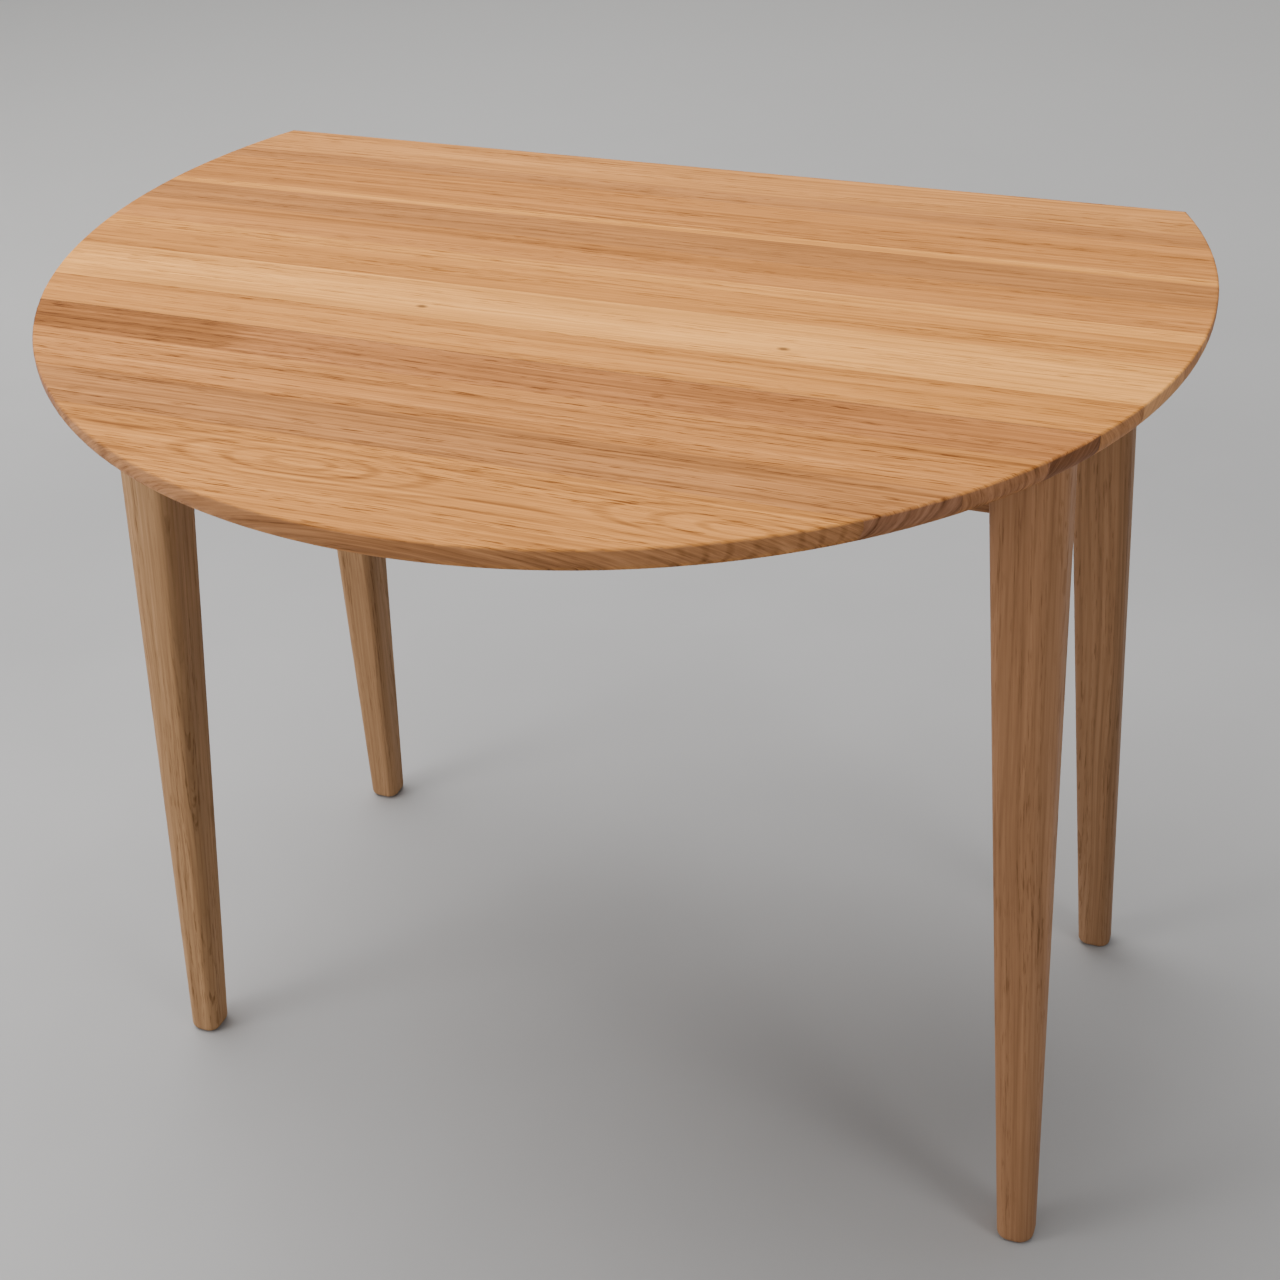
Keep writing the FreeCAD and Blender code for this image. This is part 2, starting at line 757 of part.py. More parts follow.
def flap(label, placement, near, length, knuckles, clearance, screws):
    """A hinge flap: a plate under the wood, with its knuckles round the axis."""
    name = label + "_body"
    body = new_body(name, placement)
    outward = 1 if near > 0 else -1
    relief = "(AxisDrop + KnuckleRelief)"
    low_y = relief if outward > 0 else "0 - " + length
    board = plate(body, "AdditiveBox", name + "_board",
                  ("0 - FlapWidth / 2", low_y, "AxisDrop - FlapThickness"),
                  ("FlapWidth", length + " - " + relief, "FlapThickness"))
    far_y = outward * size(length)
    board = round_edges(body, board, "FlapCorner",
                        lambda edge: edge.BoundBox.ZLength > 0.5 and abs(edge.BoundBox.YMin - far_y) < 0.01)
    for i in knuckles:
        low_x = "0 - FlapWidth / 2 + %s * %d + KnuckleGap / 2" % (KNUCKLE, i)
        width = KNUCKLE + " - KnuckleGap"
        tab_y = "0" if outward > 0 else "0 - " + relief
        plate(body, "AdditiveBox", "%s_tab_%d" % (name, i),
              (low_x, tab_y, "AxisDrop - FlapThickness"), (width, relief, "FlapThickness"))
        disc_on_x(body, "AdditiveCylinder", "%s_knuckle_%d" % (name, i),
                  (low_x, "0", "0"), "AxisDrop", width)
    disc_on_x(body, "SubtractiveCylinder", name + "_bore",
              ("0 - FlapWidth / 2", "0", "0"),
              "PinRadius + " + clearance, "FlapWidth")
    keep(cut(body, screws, label), label)


def hinge_pin(label, placement):
    body = new_body(label, placement)
    disc_on_x(body, "AdditiveCylinder", label + "_shank",
              ("0 - FlapWidth / 2", "0", "0"), "PinRadius", "FlapWidth")
    keep(body, label)


for side in SIDES:
    for hand in HANDS:
        name = "%s_%s_hinge" % (side, hand)
        station = at(along(side, hand, size("HingeSpan")), 0, 0)
        fixed = hinge_frame(side).multiply(station)
        folded = leaf_frame(side).multiply(station)
        flap(name + "_fixed_flap", fixed, -1, "FixedFlapLength", (0, 2, 4), "0", frame_holes)
        flap(name + "_leaf_flap", folded, 1, "LeafFlapLength", (1, 3), "RunningGap", leaf_holes[side])
        hinge_pin(name + "_pin", fixed)


# Folding stays: an arm pivots on a bracket on the rail, and its stud runs in a track on the leaf

RAIL_Y = "(FootHalfSpanY - LegLean + RailThickness / 2 - PanelHalfDepth)"
EAR_X = "(0 - StayGap - StayPlate)"
TRACK_X = "(StayPlate + StayGap)"


def stay_bracket(label, placement):
    """An angle bracket on the rail's outer face, with an ear that carries the arm's rivet."""
    body = new_body(label + "_body", placement)
    plate(body, "AdditiveBox", label + "_flange",
          (EAR_X + " - StayFlange", RAIL_Y, "0 - PivotDrop - BracketHeight / 2"),
          ("StayFlange + StayPlate", "StayPlate", "BracketHeight"))
    plate(body, "AdditiveBox", label + "_ear",
          (EAR_X, RAIL_Y, "0 - PivotDrop - EarRadius"),
          ("StayPlate", "0 - PivotInset - " + RAIL_Y, "EarRadius * 2"))
    disc_on_x(body, "AdditiveCylinder", label + "_nose",
              (EAR_X, "0 - PivotInset", "0 - PivotDrop"), "EarRadius", "StayPlate")
    disc_on_x(body, "SubtractiveCylinder", label + "_bore",
              (EAR_X, "0 - PivotInset", "0 - PivotDrop"), "RivetRadius", "StayPlate")
    keep(cut(body, frame_holes, label), label)


def stay_rivet(label, placement):
    """The rivet through the bracket's ear and the arm, headed on both sides."""
    body = new_body(label, placement)
    y = "0 - PivotInset"
    z = "0 - PivotDrop"
    disc_on_x(body, "AdditiveCylinder", label + "_shank",
              (EAR_X, y, z), "RivetRadius", "StayPlate * 2 + StayGap * 2 + RivetHeadThickness")
    disc_on_x(body, "AdditiveCylinder", label + "_head",
              ("StayPlate + StayGap", y, z), "RivetHead", "RivetHeadThickness")
    disc_on_x(body, "AdditiveCylinder", label + "_tail",
              (EAR_X + " - RivetHeadThickness", y, z), "RivetHead", "RivetHeadThickness")
    keep(body, label)


def stay_arm(label, placement, length):
    """A flat bar with round ends, bored for the rivet and for the stud."""
    body = new_body(label, placement)
    bar = body.newObject("PartDesign::AdditiveBox", label + "_bar")
    bind(bar, Length="StayPlate", Height="ArmWidth", Placement__Base__z="0 - ArmWidth / 2")
    bind(bar, Width=length)
    doc.recompute()
    for end, y in (("pivot", "0"), ("stud", length)):
        disc_on_x(body, "AdditiveCylinder", "%s_%s_end" % (label, end), ("0", y, "0"),
                  "ArmWidth / 2", "StayPlate")
    disc_on_x(body, "SubtractiveCylinder", label + "_pivot_bore", ("0", "0", "0"),
              "RivetRadius + RunningGap", "StayPlate")
    disc_on_x(body, "SubtractiveCylinder", label + "_stud_bore", ("0", length, "0"),
              "RivetRadius", "StayPlate")
    keep(body, label)


def stay_stud(label, placement, length):
    """The stud at the arm's far end, with a head beyond the track."""
    body = new_body(label, placement)
    disc_on_x(body, "AdditiveCylinder", label + "_shank", ("0", length, "0"),
              "RivetRadius", "StayPlate * 2 + StayGap * 3")
    disc_on_x(body, "AdditiveCylinder", label + "_tail",
              ("0 - RivetHeadThickness", length, "0"), "RivetHead", "RivetHeadThickness")
    disc_on_x(body, "AdditiveCylinder", label + "_head",
              ("StayPlate * 2 + StayGap * 2", length, "0"), "StudHead", "RivetHeadThickness")
    keep(body, label)


def stud_in_leaf(fold):
    """Where the stud lies in the leaf's frame when the leaf is folded down by an angle."""
    turn = (ARM_RISE + DOWN_FOLD) * fold / DOWN_FOLD
    angle = math.radians(ARM_RISE - turn)
    out = -size("PivotInset") + ARM_LENGTH * math.cos(angle)
    up = -size("PivotDrop") + ARM_LENGTH * math.sin(angle)
    back = math.radians(fold)
    return Vector(0, out * math.cos(back) - up * math.sin(back),
                  out * math.sin(back) + up * math.cos(back))


def slot_tool(placement):
    """The curved slot that the stud sweeps, as a solid through the track's plate."""
    half = size("RivetRadius + SlotClearance")
    spots = [stud_in_leaf(DOWN_FOLD * i / SLOT_STATIONS) for i in range(SLOT_STATIONS + 1)]
    path = Part.BSplineCurve()
    path.interpolate(spots)
    first, last = path.FirstParameter, path.LastParameter
    rows = {1: [], -1: []}
    for i in range(SLOT_STATIONS + 1):
        where = first + (last - first) * i / SLOT_STATIONS
        heading = path.tangent(where)[0]
        normal = Vector(1, 0, 0).cross(heading).normalize()
        for sign in rows:
            rows[sign].append(path.value(where) + normal * (half * sign))
    walls = {}
    for sign, points in rows.items():
        wall = Part.BSplineCurve()
        wall.interpolate(points)
        walls[sign] = wall.toShape()
    ends = []
    for index, where, way in ((0, first, -1), (-1, last, 1)):
        tip = path.value(where) + path.tangent(where)[0].normalize() * (half * way)
        ends.append(Part.Arc(rows[1][index], tip, rows[-1][index]).toShape())
    outline = Part.Wire(Part.__sortEdges__([walls[1], ends[1], walls[-1], ends[0]]))
    solid = Part.Face(outline).extrude(Vector(size("StayPlate"), 0, 0))
    solid.translate(Vector(size(TRACK_X), 0, 0))
    return solid.transformed(placement.toMatrix())


def stay_track(label, placement, screws):
    """An angle plate under the leaf, with the curved slot for the arm's stud."""
    body = new_body(label + "_body", placement)
    plate(body, "AdditiveBox", label + "_flange",
          (TRACK_X, "TrackStart", "AxisDrop - StayPlate"),
          ("StayFlange + StayPlate", "TrackEnd - TrackStart", "StayPlate"))
    ear = plate(body, "AdditiveBox", label + "_ear",
                (TRACK_X, "TrackStart", "0 - TrackDepth"),
                ("StayPlate", "TrackEnd - TrackStart", "TrackDepth + AxisDrop"))
    round_edges(body, ear, "TrackCorner",
                lambda edge: edge.BoundBox.XLength > 1 and edge.BoundBox.ZMax < 0.1 - size("TrackDepth"))
    slot = doc.addObject("Part::Feature", label + "_slot")
    slot.Shape = slot_tool(placement)
    item = cut(body, slot, label + "_slotted")
    keep(cut(item, screws, label), label)


ARM_LENGTH_TEXT = "sqrt((PivotDrop - StudDrop) ^ 2 + (StudReach + PivotInset) ^ 2)"

for side in SIDES:
    for hand in HANDS:
        name = "%s_%s_stay" % (side, hand)
        station = at(along(side, hand, size("StaySpan")), 0, 0)
        fixed = hinge_frame(side).multiply(station)
        folded = leaf_frame(side).multiply(station)
        fold = SIDES[side][1]
        arm_angle = ARM_RISE - (ARM_RISE + DOWN_FOLD) * fold / DOWN_FOLD
        pivot = fixed.multiply(at(0, -size("PivotInset"), -size("PivotDrop")))
        swung = pivot.multiply(about_x(arm_angle))
        stay_bracket(name + "_bracket", fixed)
        stay_rivet(name + "_rivet", fixed)
        stay_arm(name + "_arm", swung, ARM_LENGTH_TEXT)
        stay_stud(name + "_stud", swung, ARM_LENGTH_TEXT)
        stay_track(name + "_track", folded, leaf_holes[side])


# Check and write

doc.recompute()
for item in doc.Objects:
    if "Invalid" in item.State or "Error" in item.State:
        raise RuntimeError("%s is %s" % (item.Label, item.State))
os.makedirs("parts", exist_ok=True)
for item in parts:
    shape = item.Shape
    if shape.isNull() or not shape.isValid():
        raise RuntimeError(item.Label + " has no valid shape")
    shape.exportStep("parts/%s.step" % item.Label)
    print("%-34s %d solid(s), %.1f cm3" % (item.Label, len(shape.Solids), shape.Volume / 1000))
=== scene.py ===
"""Drop leaf table: materials, studio floor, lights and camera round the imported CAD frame."""

import math

import bpy
from mathutils import Euler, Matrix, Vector


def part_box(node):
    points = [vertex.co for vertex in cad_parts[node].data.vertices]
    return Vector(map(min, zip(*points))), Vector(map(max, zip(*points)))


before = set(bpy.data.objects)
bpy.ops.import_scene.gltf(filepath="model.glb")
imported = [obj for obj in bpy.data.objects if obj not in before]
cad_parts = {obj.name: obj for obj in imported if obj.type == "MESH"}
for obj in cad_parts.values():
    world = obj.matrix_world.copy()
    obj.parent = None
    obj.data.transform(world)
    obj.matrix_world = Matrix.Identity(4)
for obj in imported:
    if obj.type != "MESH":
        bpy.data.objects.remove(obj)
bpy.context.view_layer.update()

# Where things are, in metres, and how far a leg leans out in each metre of its height

panel_low, panel_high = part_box("centre_panel")
PANEL_Y = (panel_low[1] + panel_high[1]) / 2
PANEL_HALF = (panel_high[1] - panel_low[1]) / 2
TOP_Z = panel_high[2]
LEG_SLOPE = 0.045 / 0.73

# Camera: its place, its turn about X, Y and Z in degrees, and its lens and sensor in millimetres

CAMERA_PLACE = (0.5319, PANEL_Y - 1.303, 1.3252)
CAMERA_TURN = (56.551, 2.346, 20.708)
FOCAL_LENGTH = 54.93
SENSOR = 36.0

# Oak tones as linear colours

OAK_CREAM = (0.684, 0.299, 0.069)
OAK_PALE = (0.614, 0.259, 0.059)
OAK_LIGHT = (0.544, 0.234, 0.064)
OAK_GOLD = (0.514, 0.209, 0.047)
OAK_MEDIUM = (0.469, 0.189, 0.047)
OAK_DEEP = (0.399, 0.164, 0.047)
OAK_DARK = (0.389, 0.152, 0.043)
LEG_PALE = (0.44, 0.25, 0.122)
LEG_LIGHT = (0.41, 0.23, 0.113)
LEG_MEDIUM = (0.375, 0.19, 0.093)
# The deepest leg tone is partly painted shade, standing in for the dimmer light on the rear right
# leg
LEG_DEEP_SHADED = (0.32, 0.17, 0.086)

# Boards of the top from rear to front: the far edge of each in metres from the panel's middle
# line, its tone, and the seed that says where its piece of grain is taken from. The ramp that
# tells them apart reaches TOP_SPAN each side of that line.

PANEL_BOARDS = [
    (0.145, OAK_LIGHT, 0.13),
    (0.125, OAK_DEEP, 0.81),
    (0.065, OAK_MEDIUM, 0.42),
    (0.055, OAK_PALE, 0.55),
    (0.015, OAK_DEEP, 0.27),
    (-0.026, OAK_MEDIUM, 0.93),
    (-0.044, OAK_PALE, 0.35),
    (-0.086, OAK_GOLD, 0.67),
    (-0.146, OAK_CREAM, 0.06),
    (-0.200, OAK_GOLD, 0.74),
]
FRONT_BOARDS = [
    (-0.236, OAK_DARK, 0.21),
    (-0.290, OAK_MEDIUM, 0.62),
    (-0.336, OAK_DEEP, 0.37),
    (-0.450, OAK_GOLD, 0.88),
]
REAR_BOARDS = [
    (0.238, OAK_MEDIUM, 0.45),
    (0.296, OAK_PALE, 0.17),
    (0.341, OAK_GOLD, 0.71),
    (0.392, OAK_DEEP, 0.29),
    (0.450, OAK_MEDIUM, 0.98),
]
TOP_SPAN = 0.46

# The single sticks: each leg's tone and seed, each rail's grain direction and seed

LEGS = {
    "front_left": (LEG_PALE, 0.19),
    "front_right": (LEG_MEDIUM, 0.42),
    "rear_left": (LEG_LIGHT, 0.65),
    # The rear right leg's deeper tone is partly its own tone and partly painted shade for the
    # dimmer light at the back
    "rear_right": (LEG_DEEP_SHADED, 0.88),
}
RAILS = {
    "front": ("X", 0.11),
    "rear": ("X", 0.42),
    "left": ("Y", 0.73),
    "right": ("Y", 1.04),
}
BLOCK_SEED = 0.5

# Pin knots on the panel: place along and across the top, and radius

KNOTS = [(-0.107, -0.130, 0.0035), (0.168, -0.1285, 0.0035)]


class Graph:
    """A material's node tree, with short calls for the nodes used here."""

    def __init__(self, name):
        self.material = bpy.data.materials.new(name)
        self.material.use_nodes = True
        self.tree = self.material.node_tree
        self.tree.nodes.clear()

    def add(self, kind, inputs=None, **settings):
        """Add a node; inputs maps socket names or numbers to sockets or plain values."""
        node = self.tree.nodes.new(kind)
        for name, value in settings.items():
            setattr(node, name, value)
        for key, value in (inputs or {}).items():
            if isinstance(value, bpy.types.NodeSocket):
                self.tree.links.new(value, node.inputs[key])
            else:
                node.inputs[key].default_value = value
        return node

    def math(self, operation, first, second=0.0, third=0.0, clamp=False):
        inputs = {0: first, 1: second, 2: third}
        return self.add("ShaderNodeMath", inputs, operation=operation, use_clamp=clamp).outputs[0]

    def length(self, first, second):
        """The length of a vector with these two parts."""
        squares = [self.math("MULTIPLY", part, part) for part in (first, second)]
        return self.math("SQRT", self.math("ADD", *squares))

    def span(self, value, low, high, out_low=0.0, out_high=1.0):
        """Map a value from one range to another, clamped."""
        inputs = {0: value, 1: low, 2: high, 3: out_low, 4: out_high}
        return self.add("ShaderNodeMapRange", inputs).outputs[0]

    def mix(self, factor, first, second):
        inputs = {0: factor, 6: first, 7: second}
        return self.add("ShaderNodeMix", inputs, data_type="RGBA").outputs[2]

    def tint(self, colour, filter_colour):
        """One colour multiplied by another."""
        inputs = {0: 1.0, 6: colour, 7: filter_colour}
        node = self.add("ShaderNodeMix", inputs, data_type="RGBA", blend_type="MULTIPLY")
        return node.outputs[2]

    def noise(self, vector, scale, detail, roughness):
        """Noise from 0 to 1 round 0.5, with its own scale for each axis."""
        inputs = {0: vector, 1: scale}
        stretched = self.add("ShaderNodeVectorMath", inputs, operation="MULTIPLY").outputs[0]
        inputs = {"Vector": stretched, "Scale": 1.0, "Detail": detail, "Roughness": roughness}
        return self.add("ShaderNodeTexNoise", inputs).outputs[0]

    def ramp(self, factor, stops, interpolation="LINEAR"):
        node = self.add("ShaderNodeValToRGB", {0: factor})
        node.color_ramp.interpolation = interpolation
        elements = node.color_ramp.elements
        elements.remove(elements[1])
        elements[0].position, elements[0].color = stops[0]
        for place, colour in stops[1:]:
            elements.new(place).color = colour
        return node.outputs[0]

    def coordinates(self, kind):
        return self.add("ShaderNodeTexCoord").outputs[kind]

    def axes(self, vector):
        return self.add("ShaderNodeSeparateXYZ", {0: vector}).outputs

    def combine(self, x, y, z):
        return self.add("ShaderNodeCombineXYZ", {0: x, 1: y, 2: z}).outputs[0]

    def bump(self, height, distance, strength, under=None):
        inputs = {"Height": height, "Distance": distance, "Strength": strength}
        if under is not None:
            inputs["Normal"] = under
        return self.add("ShaderNodeBump", inputs).outputs[0]

    def surface(self, **inputs):
        """End the material with a Principled shader; its sockets' names have _ for a space."""
        named = {name.replace("_", " "): value for name, value in inputs.items()}
        shader = self.add("ShaderNodeBsdfPrincipled", named)
        self.add("ShaderNodeOutputMaterial", {"Surface": shader.outputs[0]})
        return self.material


def opaque(colour):
    return (*colour, 1.0)


def grey(value):
    return (value, value, value, 1.0)


# Oak grain. Each noise is its scale along, across and through the wood in cycles per metre,
# then its detail and roughness. A seed moves a board's piece of grain this many metres.

SWAY_NOISE = ((1.6, 7.0, 7.0), 2.0, 0.5)
BROAD_NOISE = ((0.9, 30.0, 30.0), 3.0, 0.5)
STREAK_NOISE = ((3.2, 300.0, 300.0), 6.0, 0.68)
PORE_NOISE = ((40.0, 950.0, 950.0), 2.0, 0.6)
BAND_NOISE = ((3.0, 120.0, 120.0), 2.0, 0.5)
FLECK_NOISE = ((14.0, 90.0, 90.0), 3.0, 0.6)
NOISE_MIDDLE = 0.5
SEED_ALONG = 7.3
SEED_DEEP = 1.9

# Growth rings: their slant through the wood, how slowly they change with depth and how far they
# sway. In a stick they lie round a pith outside it.

RING_SLANT = 1.2
RING_DEPTH_SHARE = 0.12
RING_SWAY = 0.02
RING_PITCH = 0.0045
RING_DRIFT = 2.4
RING_STRENGTH = 0.45
PITH = (0.052, 0.031)
PITH_SWAY = 0.05

# Cathedral figure of the front leaf: loops of one length along a middle line, which fade out at
# their reach to the side

FIGURE_MIDDLE = -0.370
FIGURE_START = -0.075
FIGURE_PERIOD = 0.290
FIGURE_RISE = 0.026
FIGURE_REACH = 0.040
FIGURE_FULL_SHARE = 0.4
FIGURE_SWAY = 0.014
FIGURE_PITCH = 0.0075
FIGURE_DRIFT = 0.7

# Late-wood lines: the part of each wave that is dark, and how flecks break them up

LINE_WAVE = (0.25, 1.0)
LINE_FLECKS = (0.35, 0.65)
LINE_STRENGTHS = (0.35, 1.0)

# How strongly each field lightens or darkens the wood, and the tint at each shade

BROAD_SHADE = 0.60
STREAK_SHADE = 1.35
FLECK_SHADE = 0.25
PORE_SHADE = -0.42
LINE_SHADE = -0.34
SHADE_RANGE = (0.4, 1.6)
SHADE_TINTS = [
    (0.0, (0.34, 0.27, 0.20, 1.0)),
    (0.5, (1.0, 1.0, 1.0, 1.0)),
    (1.0, (1.62, 1.75, 1.95, 1.0)),
]
PANEL_CONTRAST = 1.0
FIGURED_CONTRAST = 1.4
STICK_CONTRAST = 0.65

# Pores: where their noise and their bands make one, and how much of them end grain shows

PORE_NOISE_RANGE = (0.45, 0.36)
PORE_BAND_RANGE = (0.38, 0.58)
PORE_END_SHARES = (1.0, 0.35)

# End grain, from none to full: how far the normal faces out of the top on the rim, and how far
# it faces along the wood on a stick

# The rim's tint is partly its end-grain colour and partly painted light: it lifts the front and
# right rims brighter than the lamps light them
RIM_GRAIN_AND_LIGHT_TINT = (0.85, 0.95, 1.72, 1.0)
RIM_FACING = (0.85, 0.35)
END_TINT = (0.75, 0.74, 0.76, 1.0)
END_FACING = (0.5, 0.9)

# The darker left end of the front leaf's first board

DARK_TINT = (0.64, 0.60, 0.50, 1.0)
DARK_EDGE = (-0.145, -0.165)
DARK_RAGGEDNESS = 0.12
DARK_FLECKS = (0.35, 0.6)
DARK_SHARES = (0.6, 1.0)

# Pin knots are longer along the grain and fade from a core

KNOT_COLOUR = (0.06, 0.026, 0.012, 1.0)
KNOT_SQUEEZE = 0.6
KNOT_CORE_SHARE = 0.3
KNOT_STRENGTH = 0.75

# Finish: soft edges, a dull sheen and a slight relief

EDGE_RADIUS = 0.0025
EDGE_SAMPLES = 6
OAK_ROUGHNESS = 0.46
FLECK_ROUGHNESS = 0.14
PORE_ROUGHNESS = 0.2
OAK_SPECULAR = 0.08
PORE_RELIEF = -0.7
RELIEF_HEIGHT = 0.0003
RELIEF_STRENGTH = 0.5


def board_value(g, place, boards, values):
    """One constant value or colour for each board, from its place across the top."""
    edges = [TOP_SPAN] + [edge for edge, tone, seed in boards]
    stops = [((TOP_SPAN - edge) / (2 * TOP_SPAN), value) for edge, value in zip(edges, values)]
    factor = g.span(place, TOP_SPAN, -TOP_SPAN)
    return g.ramp(factor, stops, "CONSTANT")


def grain(g, along, across, deep, seed):
    """Oak's streaks, pores and flecks at a place, in metres along and across the grain.

    The growth rings cross each board's thickness at their own slant, which shows on the rim.
    """
    start = g.math("MULTIPLY_ADD", seed, SEED_ALONG, along)
    depth = g.math("MULTIPLY_ADD", seed, SEED_DEEP, deep)
    shifted = g.combine(start, across, depth)
    sway = g.math("SUBTRACT", g.noise(shifted, *SWAY_NOISE), NOISE_MIDDLE)
    slant = g.math("MULTIPLY_ADD", seed, 2 * RING_SLANT, -RING_SLANT)
    rings = g.math("MULTIPLY_ADD", deep, slant, across)
    rings = g.math("MULTIPLY_ADD", sway, RING_SWAY, rings)
    bent = g.combine(start, rings, g.math("MULTIPLY", depth, RING_DEPTH_SHARE))
    return {
        "sway": sway,
        "broad": g.noise(bent, *BROAD_NOISE),
        "streaks": g.noise(bent, *STREAK_NOISE),
        "pores": g.noise(bent, *PORE_NOISE),
        "bands": g.noise(bent, *BAND_NOISE),
        "flecks": g.noise(shifted, *FLECK_NOISE),
    }


def thin_lines(g, radius, fields, pitch, drift):
    """Dark late-wood lines at even steps of a radius, uneven in width and strength."""
    turns = g.math("MULTIPLY", radius, 1 / pitch)
    turns = g.math("MULTIPLY_ADD", fields["broad"], drift, turns)
    wave = g.math("SINE", g.math("MULTIPLY", turns, 2 * math.pi))
    strength = g.span(fields["flecks"], *LINE_FLECKS, *LINE_STRENGTHS)
    return g.math("MULTIPLY", g.span(wave, *LINE_WAVE), strength)


def figure_lines(g, along, across, fields):
    """Cathedral grain: closed loops along a board's middle."""
    turn = g.math("MULTIPLY", g.math("SUBTRACT", along, FIGURE_START), math.pi / FIGURE_PERIOD)
    rise = g.math("MULTIPLY", g.math("SINE", turn), FIGURE_RISE)
    offset = g.math("SUBTRACT", across, FIGURE_MIDDLE)
    offset = g.math("MULTIPLY_ADD", fields["sway"], FIGURE_SWAY, offset)
    lines = thin_lines(g, g.length(offset, rise), fields, FIGURE_PITCH, FIGURE_DRIFT)
    full = FIGURE_REACH * FIGURE_FULL_SHARE
    return g.math("MULTIPLY", lines, g.span(g.math("ABSOLUTE", offset), FIGURE_REACH, full))


def ring_lines(g, across, deep, fields):
    """Growth rings round a pith that lies outside the stick."""
    beside = g.math("SUBTRACT", across, PITH[0])
    beside = g.math("MULTIPLY_ADD", fields["sway"], PITH_SWAY, beside)
    below = g.math("SUBTRACT", deep, PITH[1])
    lines = thin_lines(g, g.length(beside, below), fields, RING_PITCH, RING_DRIFT)
    return g.math("MULTIPLY", lines, RING_STRENGTH)


def add_shade(g, shade, field, strength):
    """Lighten or darken a shade by a noise field's distance from its middle."""
    return g.math("MULTIPLY_ADD", g.math("SUBTRACT", field, NOISE_MIDDLE), strength, shade)


def oak_surface(g, tone, fields, end_share, end_grain_and_light_tint, lines, contrast, marks=None):
    """Finish an oak material from its board tone and grain fields."""
    pore = g.math("MULTIPLY", g.span(fields["pores"], *PORE_NOISE_RANGE),
                  g.span(fields["bands"], *PORE_BAND_RANGE))
    pore = g.math("MULTIPLY", pore, g.span(end_share, 0.0, 1.0, *PORE_END_SHARES))
    shade = add_shade(g, 1.0, fields["broad"], BROAD_SHADE)
    shade = add_shade(g, shade, fields["streaks"], STREAK_SHADE * contrast)
    shade = add_shade(g, shade, fields["flecks"], FLECK_SHADE)
    shade = g.math("MULTIPLY_ADD", pore, PORE_SHADE * contrast, shade)
    shade = g.math("MULTIPLY_ADD", lines, LINE_SHADE, shade)
    colour = g.tint(tone, g.ramp(g.span(shade, *SHADE_RANGE), SHADE_TINTS))
    # End-grain tint; on the top's rim it also paints in light that brightens the rim
    colour = g.mix(end_share, colour, g.tint(colour, end_grain_and_light_tint))
    if marks is not None:
        colour = g.mix(marks, colour, KNOT_COLOUR)
    rough = g.math("MULTIPLY_ADD", fields["flecks"], FLECK_ROUGHNESS, OAK_ROUGHNESS)
    rough = g.math("MULTIPLY_ADD", pore, PORE_ROUGHNESS, rough)
    rounded = g.add("ShaderNodeBevel", {"Radius": EDGE_RADIUS}, samples=EDGE_SAMPLES).outputs[0]
    height = g.math("MULTIPLY_ADD", pore, PORE_RELIEF, fields["streaks"])
    normal = g.bump(height, RELIEF_HEIGHT, RELIEF_STRENGTH, rounded)
    return g.surface(
        Base_Color=colour, Roughness=rough, Normal=normal, Specular_IOR_Level=OAK_SPECULAR)


def dark_end(g, tone, along, across, fields, end_share):
    """The mottled darker left end of the front leaf's first board, and its dark end grain."""
    ragged = g.math("MULTIPLY_ADD", fields["flecks"], DARK_RAGGEDNESS, along)
    mottle = g.span(fields["flecks"], *DARK_FLECKS, *DARK_SHARES)
    dark = g.math("MULTIPLY", g.span(ragged, *DARK_EDGE), mottle)
    first_board = g.math("GREATER_THAN", across, FRONT_BOARDS[0][0])
    share = g.math("MULTIPLY", first_board, g.math("MAXIMUM", dark, end_share))
    return g.mix(share, tone, g.tint(tone, DARK_TINT))


def knot_marks(g, along, across, knots):
    """Small dark pin knots at given places on the top."""
    total = 0.0
    for x, y, radius in knots:
        ahead = g.math("MULTIPLY", g.math("SUBTRACT", along, x), KNOT_SQUEEZE)
        reach = g.length(ahead, g.math("SUBTRACT", across, y))
        mark = g.span(reach, radius, radius * KNOT_CORE_SHARE, 0.0, KNOT_STRENGTH)
        total = g.math("ADD", total, mark, clamp=True)
    return total


def top_oak(name, boards, hanging=False, figured=False, knots=()):
    """Glued oak boards along X. A hanging leaf's boards lie one under the other."""
    g = Graph(name)
    x, y, z = g.axes(g.coordinates("Object"))
    normal = g.axes(g.coordinates("Normal"))
    if hanging:
        across = g.math("SUBTRACT", TOP_Z + PANEL_HALF, z)
        deep = y
        facing = normal[1]
    else:
        across = g.math("SUBTRACT", y, PANEL_Y)
        deep = z
        facing = normal[2]
    tone = board_value(g, across, boards, [opaque(tone) for edge, tone, seed in boards])
    seed = board_value(g, across, boards, [grey(seed) for edge, tone, seed in boards])
    fields = grain(g, x, across, deep, g.axes(seed)[0])
    end_share = g.span(g.math("ABSOLUTE", facing), *RIM_FACING)
    lines = 0.0
    contrast = PANEL_CONTRAST
    if figured:
        tone = dark_end(g, tone, x, across, fields, end_share)
        lines = figure_lines(g, x, across, fields)
        contrast = FIGURED_CONTRAST
    marks = knot_marks(g, x, across, knots) if knots else None
    return oak_surface(g, tone, fields, end_share, RIM_GRAIN_AND_LIGHT_TINT, lines, contrast, marks)


